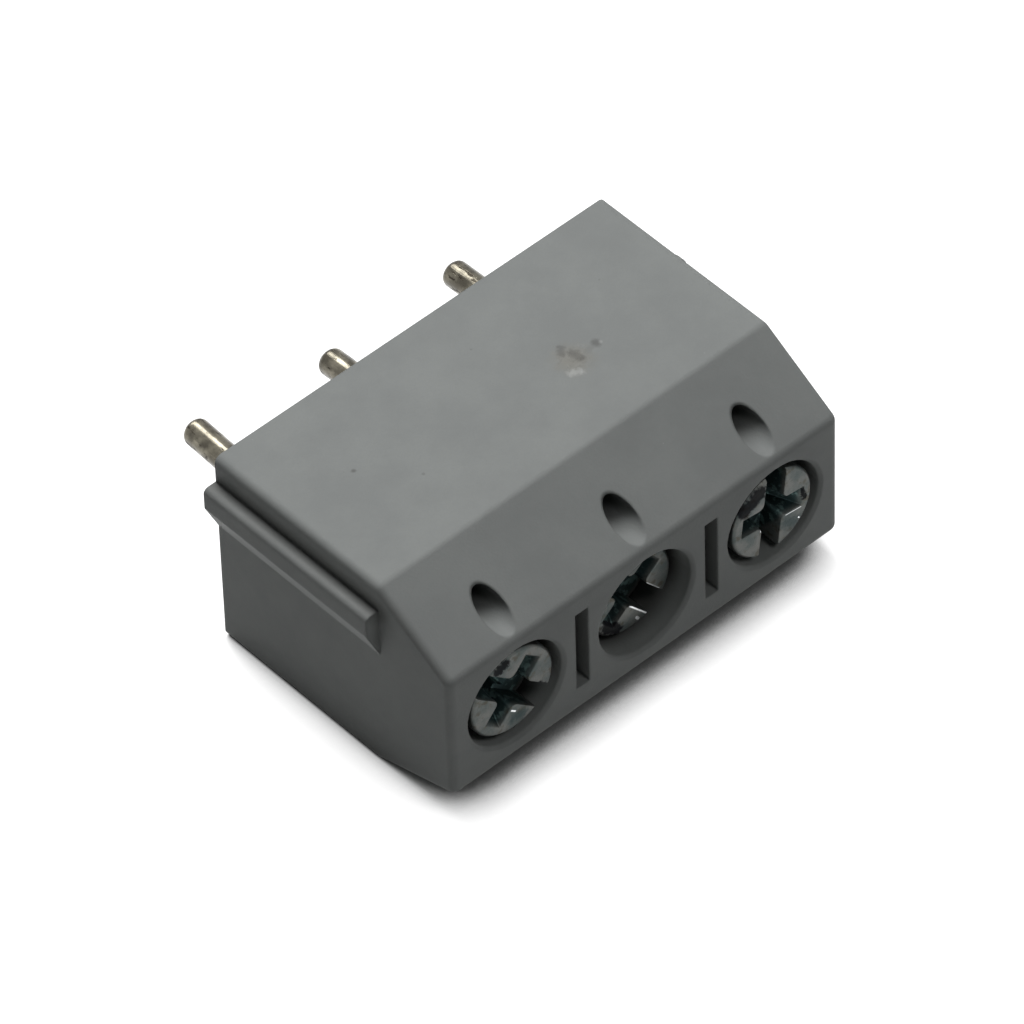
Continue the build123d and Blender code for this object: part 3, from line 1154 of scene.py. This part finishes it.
@dataclass
class Housing:
    """The moulded housing and the marks that its mould left."""

    gate_centre: Vec3 = (2.50, 4.10, 4.25)
    gate_radius: float = 0.62
    gate_rings: int = 16
    gate_spokes: int = 48
    gate_outline: tuple[float, float] = (1.3, 0.16)
    gate_tears: tuple[tuple[float, float, float], ...] = ((5.0, 1.7, 1.0), (11.0, 3.1, 0.6))
    gate_base: float = 0.35
    gate_rise: float = 0.030
    gate_sunk: float = 0.003
    flash_place: Vec3 = (7.525, 4.005, 3.38)
    flash_reach: Vec3 = (0.060, 0.060, 0.26)
    flash_outline: tuple[float, float] = (1.8, 0.25)
    finish: Finish = field(default_factory=MouldedPlastic)

    def build(self) -> list[bpy.types.Object]:
        """Dress the housing and add its marks.

        Returns:
            The added pieces.
        """
        dress_node("housing", self.finish)
        meshes = (self._gate_mesh(), self._flash_mesh())
        return [add_piece(mesh.name, mesh, self.finish, "block") for mesh in meshes]

    def _gate_mesh(self) -> bpy.types.Mesh:
        """Shape the torn stub of the gate as a low ragged patch on the back face.

        Returns:
            The mesh.
        """
        per_radius, wander = self.gate_outline
        shape = bmesh.new()
        rows = []
        for ring in range(1, self.gate_rings + 1):
            share = ring / self.gate_rings
            row = []
            for spoke in range(self.gate_spokes):
                angle = math.tau * spoke / self.gate_spokes
                along, up = math.cos(angle), math.sin(angle)
                ragged = 1.0 + wander * noise.noise((per_radius * along, per_radius * up, 4.0))
                reach = self.gate_radius * share * ragged
                row.append(self._gate_point(shape, reach * along, reach * up, share))
            rows.append(row)
        middle = self._gate_point(shape, 0.0, 0.0, 0.0)
        for spoke in range(self.gate_spokes):
            following = (spoke + 1) % self.gate_spokes
            shape.faces.new((middle, rows[0][following], rows[0][spoke]))
            for inner, outer in zip(rows, rows[1:]):
                shape.faces.new((inner[spoke], inner[following], outer[following], outer[spoke]))
        bmesh.ops.recalc_face_normals(shape, faces=shape.faces)
        if sum(face.normal.y for face in shape.faces) < 0:
            bmesh.ops.reverse_faces(shape, faces=shape.faces)
        return as_mesh(shape, "gate_mark")

    def _gate_point(
        self, shape: bmesh.types.BMesh, along: float, up: float, share: float
    ) -> bmesh.types.BMVert:
        """Add one point of the torn patch.

        Args:
            shape: The mesh being built.
            along: The point's X from the patch's middle.
            up: The point's Z from the patch's middle.
            share: How far out it lies, from nought to one.

        Returns:
            The new vertex.
        """
        torn = sum(part * noise.noise((per * along, per * up, layer)) for per, layer, part in self.gate_tears)
        fade = 1.0 - share**3
        rise = self.gate_rise * (self.gate_base + torn) * fade - self.gate_sunk
        x, y, z = self.gate_centre
        return shape.verts.new(Vector((x + along, y + max(rise, -self.gate_sunk), z + up)) * MM)

    def _flash_mesh(self) -> bpy.types.Mesh:
        """Shape the sliver of flash on the rounded edge of the right end.

        Returns:
            The mesh.
        """
        per_radius, wander = self.flash_outline
        shape = bmesh.new()
        bmesh.ops.create_icosphere(shape, subdivisions=3, radius=1.0)
        centre = Vector(self.flash_place)
        for vertex in shape.verts:
            rough = 1.0 + wander * noise.noise(vertex.co * per_radius + centre)
            vertex.co = (centre + Vector(a * b * rough for a, b in zip(vertex.co, self.flash_reach))) * MM
        return as_mesh(shape, "edge_flash")


@dataclass
class SolderPin:
    """One solder pin, with a rounded tip and bent a little as the photograph shows it."""

    number: int
    lean: float
    root_height: float = 0.60
    edge_round: float = 0.09
    sharp_angle: float = 30.0
    finish: Finish = field(default_factory=ScratchedTin)

    def build(self) -> bpy.types.Object:
        """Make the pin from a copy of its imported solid.

        Returns:
            The new piece.
        """
        node = f"solder_pin_{self.number}"
        name = f"tinned_pin_{self.number}"
        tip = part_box(node)[0].z
        start = self.root_height * MM
        shape = welded_copy(node)
        for vertex in shape.verts:
            share = max(0.0, (start - vertex.co.z) / (start - tip))
            vertex.co.y += self.lean * MM * share
        pin = add_piece(name, as_mesh(shape, name), self.finish, "block")
        round_edges(pin, self.edge_round, self.sharp_angle)
        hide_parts(node)
        return pin


@dataclass
class Metalwork:
    """The clamp bodies, solder pins and wire guards."""

    pin_leans: Sequence[float] = (0.34, -0.22, -0.22)
    clamp_finish: Finish = field(default_factory=DullNickel)
    guard_finish: Finish = field(default_factory=RolledSteel)

    def build(self) -> list[bpy.types.Object]:
        """Dress the clamp bodies and guards, and make the pins.

        Returns:
            The pins.
        """
        pins = []
        for pole, lean in enumerate(self.pin_leans, start=1):
            dress_node(f"clamp_body_{pole}", self.clamp_finish)
            dress_node(f"wire_guard_{pole}", self.guard_finish)
            pins.append(SolderPin(pole, lean).build())
        return pins


@dataclass(frozen=True)
class SoftLamp:
    """A soft lamp that faces the block, with its width along the poles."""

    name: str
    towards: Vec3
    distance: float
    width: float
    length: float
    level: float

    def place(self, target: Vector) -> None:
        """Hang the lamp.

        Args:
            target: The point that it faces, in millimetres.
        """
        light = bpy.data.lights.new(self.name, "AREA")
        light.shape = "RECTANGLE"
        light.size = self.width * MM
        light.size_y = self.length * MM
        light.energy = self.level * (math.pi * self.distance * MM) ** 2
        lamp = bpy.data.objects.new(self.name, light)
        direction = Vector(self.towards).normalized()
        lamp.location = (target + direction * self.distance) * MM
        lamp.rotation_mode = "QUATERNION"
        lamp.rotation_quaternion = direction.to_track_quat("Z", "Y")
        bpy.context.scene.collection.objects.link(lamp)
        LOG.info("%s hangs %.0f mm away", self.name, self.distance)


@dataclass(frozen=True)
class PhotoCamera:
    """The camera of the photograph, placed about the point in the middle of the picture."""

    aim: Vec3 = (-0.528, 0.264, 4.763)
    distance: float = 293.5
    elevation: float = 47.03
    heading: float = 41.10
    roll: float = 1.89
    lens: float = 355.73
    sensor: float = 36.0

    def place(self) -> None:
        """Set up the camera; elevation is above the floor, and heading turns from +Z towards -X."""
        rise, turn, lean = (math.radians(a) for a in (self.elevation, self.heading, self.roll))
        back = Vector((-math.sin(turn) * math.cos(rise), math.sin(rise), math.cos(turn) * math.cos(rise)))
        level_right = Vector(Axis.Y.value).cross(back).normalized()
        level_up = back.cross(level_right)
        up = level_up * math.cos(lean) + level_right * math.sin(lean)
        right = up.cross(back)
        data = bpy.data.cameras.new("photo_camera")
        data.lens = self.lens
        data.sensor_width = self.sensor
        camera = bpy.data.objects.new("photo_camera", data)
        spot = (Vector(self.aim) + back * self.distance) * MM
        camera.matrix_world = Matrix.Translation(spot) @ Matrix((right, up, back)).transposed().to_4x4()
        bpy.context.scene.collection.objects.link(camera)
        bpy.context.scene.camera = camera


@dataclass
class Studio:
    """The white floor under the wire face, the lamps and the camera."""

    floor_reach: float = 48.0
    floor_gap: float = 0.002
    ambient: float = 0.02
    lamps: tuple[SoftLamp, ...] = (
        SoftLamp("key_lamp", (0.13, 0.86, -0.49), 140.0, 50.0, 170.0, 1.15),
        SoftLamp("screw_side_lamp", (0.10, 0.80, 0.58), 150.0, 40.0, 40.0, 0.14),
        SoftLamp("wire_side_lamp", (0.1, -0.95, 0.25), 150.0, 150.0, 150.0, 0.85),
    )
    camera: PhotoCamera = PhotoCamera()

    def build(self) -> None:
        """Lay the floor and set up the lamps, the backdrop and the camera."""
        scene = bpy.context.scene
        scene.view_settings.view_transform = "Standard"
        self._floor()
        self._backdrop()
        low, high = CAD_BOX
        for lamp in self.lamps:
            lamp.place((low + high) / 2 / MM)
        self.camera.place()

    def _floor(self) -> bpy.types.Object:
        """Lay the floor.

        Returns:
            The floor.
        """
        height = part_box("housing")[0].y - self.floor_gap * MM
        reach = self.floor_reach
        corners = ((-reach, -reach), (-reach, reach), (reach, reach), (reach, -reach))
        mesh = bpy.data.meshes.new("studio_floor")
        mesh.from_pydata([(x * MM, height, z * MM) for x, z in corners], [], [(0, 1, 2, 3)])
        mesh.materials.append(StudioWhite().material())
        floor = bpy.data.objects.new("studio_floor", mesh)
        bpy.context.scene.collection.objects.link(floor)
        return floor

    def _backdrop(self) -> None:
        """Make the world white where it is seen and almost dark where it would light the part."""
        world = bpy.data.worlds.new("studio_world")
        world.use_nodes = True
        bpy.context.scene.world = world
        graph = NodeGraph(world.node_tree)
        strength = self.ambient + (1.0 - self.ambient) * seen_directly(graph)
        sky = graph.add("ShaderNodeBackground", None, {"Color": (1.0, 1.0, 1.0, 1.0), "Strength": strength})
        graph.add("ShaderNodeOutputWorld", None, {"Surface": sky})


def main() -> None:
    """Dress the terminal piece by piece and set up the studio."""
    logging.basicConfig(level=logging.INFO, format="%(name)s: %(message)s")
    Housing().build()
    Metalwork().build()
    thread = ThreadNodes()
    for number in (1, 2, 3):
        ClampScrew(number).build(thread)
    Studio().build()


if __name__ == "__main__":
    main()
